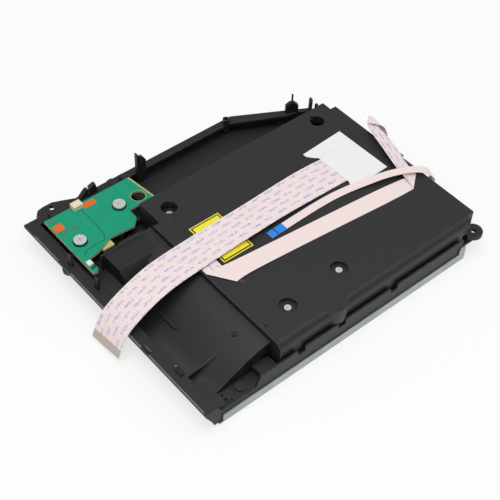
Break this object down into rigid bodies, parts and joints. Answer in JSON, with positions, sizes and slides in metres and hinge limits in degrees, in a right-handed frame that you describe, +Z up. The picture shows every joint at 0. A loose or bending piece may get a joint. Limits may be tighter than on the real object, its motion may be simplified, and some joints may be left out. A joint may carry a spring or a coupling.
{
  "type": "console optical drive",
  "caption": "Slot-loading optical disc drive of a game console: steel base plate, black moulded case with a raised cover, a loading roller and a lowering pickup unit.",
  "frame": {"origin": "middle of the case's base, on the underside of the steel plate, ribbons left out", "axes": "+X along the steel flange away from the disc slot, +Y from the flange to the back, +Z up, from the plate to the raised cover"},
  "size_m": [0.2213, 0.1714, 0.0307],
  "materials": {
    "plate_steel": "zinc-plated sheet steel",
    "chassis_plastic": "black moulded plastic, fine grain",
    "cover_plastic": "black moulded plastic, fine grain",
    "tray_plastic": "black moulded plastic, smooth",
    "board_laminate": "solder-masked circuit board",
    "cream_plastic": "cream connector housing",
    "white_plastic": "white moulded plastic",
    "screw_steel": "bright nickel-plated screw",
    "turned_steel": "ground steel rod",
    "motor_steel": "drawn steel can",
    "gear_plastic": "natural acetal",
    "slider_plastic": "black acetal",
    "damper_rubber": "soft rubber",
    "roller_rubber": "black rubber",
    "carriage_metal": "die-cast zinc",
    "lens_glass": "moulded lens",
    "ribbon_film": "polyester flat cable",
    "brass": "sintered bronze bush"
  },
  "bodies": {
    "drive_body": {"metal_plate": "plate_steel", "main_chassis": "chassis_plastic", "deck_cover": "cover_plastic", "entry_tray": "tray_plastic", "circuit_board": "board_laminate", "board_socket": "cream_plastic", "board_connector": "cream_plastic", "board_sensor": "white_plastic", "board_screws": "screw_steel", "cover_screws": "screw_steel", "loading_motor": "motor_steel", "gear_pins": "turned_steel", "roller_bushes": "brass", "clamp_retainer": "white_plastic", "wide_ribbon": "ribbon_film", "folded_ribbon": "ribbon_film", "narrow_ribbon": "ribbon_film"},
    "traverse_unit": {"traverse_plate": "plate_steel", "rubber_dampers": "damper_rubber", "damper_screws": "screw_steel", "lift_frame": "slider_plastic", "spindle_motor": "plate_steel", "rod_holders": "slider_plastic", "main_guide_rod": "turned_steel", "second_guide_rod": "turned_steel", "lead_bearing": "slider_plastic", "sled_motor": "motor_steel"},
    "turntable": {"turntable": "slider_plastic"},
    "pickup": {"pickup_carriage": "carriage_metal", "objective_lens": "lens_glass", "rack_follower": "gear_plastic"},
    "lead_screw": {"lead_screw": "turned_steel"},
    "loading_roller": {"roller_shaft": "turned_steel", "rubber_rollers": "roller_rubber", "roller_gear": "gear_plastic"},
    "wheel_gear": {"wheel_gear": "gear_plastic"},
    "drive_gear": {"drive_gear": "gear_plastic"},
    "motor_pinion": {"motor_pinion": "brass"},
    "slide_cam": {"slide_cam": "slider_plastic"},
    "cam_pinion": {"cam_pinion": "gear_plastic"},
    "disc_stop_arm": {"disc_stop_arm": "slider_plastic"},
    "clamp_puck": {"clamp_puck": "plate_steel"}
  },
  "joints": [
    {"name": "traverse_lift", "type": "slide", "parent": "drive_body", "child": "traverse_unit", "axis": [0, 0, -1], "range_m": [0, 0.0055]},
    {"name": "cam_travel", "type": "slide", "parent": "drive_body", "child": "slide_cam", "axis": [1, 0, 0], "range_m": [0, 0.0201]},
    {"name": "cam_pinion_spin", "type": "hinge", "parent": "drive_body", "child": "cam_pinion", "pos_m": [-0.001, 0.02793, 0.0095], "axis": [0, 0, 1], "range_deg": [0, 240]},
    {"name": "pickup_slide", "type": "slide", "parent": "traverse_unit", "child": "pickup", "axis": [-1, 0, 0], "range_m": [0, 0.033]},
    {"name": "lead_screw_spin", "type": "hinge", "parent": "traverse_unit", "child": "lead_screw", "pos_m": [0.029, 0.01125, 0.0166], "axis": [1, 0, 0], "range_deg": [0, 3965]},
    {"name": "turntable_spin", "type": "hinge", "parent": "traverse_unit", "child": "turntable", "pos_m": [0.029, -0.01875, 0.0096], "axis": [0, 0, 1], "continuous": true},
    {"name": "roller_spin", "type": "hinge", "parent": "drive_body", "child": "loading_roller", "pos_m": [-0.0585, 0.04425, 0.0097], "axis": [0, 1, 0], "continuous": true},
    {"name": "wheel_gear_spin", "type": "hinge", "parent": "drive_body", "child": "wheel_gear", "pos_m": [-0.06648, 0.04725, 0.0092], "axis": [0, 1, 0], "continuous": true},
    {"name": "drive_gear_spin", "type": "hinge", "parent": "drive_body", "child": "drive_gear", "pos_m": [-0.07448, 0.05025, 0.0091], "axis": [0, 1, 0], "continuous": true},
    {"name": "motor_pinion_spin", "type": "hinge", "parent": "drive_body", "child": "motor_pinion", "pos_m": [-0.08285, 0.05225, 0.0076], "axis": [0, 1, 0], "continuous": true},
    {"name": "stop_arm_swing", "type": "hinge", "parent": "drive_body", "child": "disc_stop_arm", "pos_m": [0.0825, 0.01525, 0.0095], "axis": [0, 0, 1], "range_deg": [0, 20], "stiffness_Nm_per_rad": 0.004},
    {"name": "clamp_spin", "type": "hinge", "parent": "drive_body", "child": "clamp_puck", "pos_m": [0.029, -0.01875, 0.0009], "axis": [0, 0, 1], "continuous": true}
  ],
  "couplings": [
    {"joint": "cam_travel", "follows": "traverse_lift", "ratio": 3.6364},
    {"joint": "cam_pinion_spin", "follows": "traverse_lift", "rad_per_m": 757.58},
    {"joint": "lead_screw_spin", "follows": "pickup_slide", "rad_per_m": 2094.4},
    {"joint": "wheel_gear_spin", "follows": "roller_spin", "ratio": -2.2},
    {"joint": "drive_gear_spin", "follows": "roller_spin", "ratio": 4.84},
    {"joint": "motor_pinion_spin", "follows": "roller_spin", "ratio": -15.73}
  ]
}
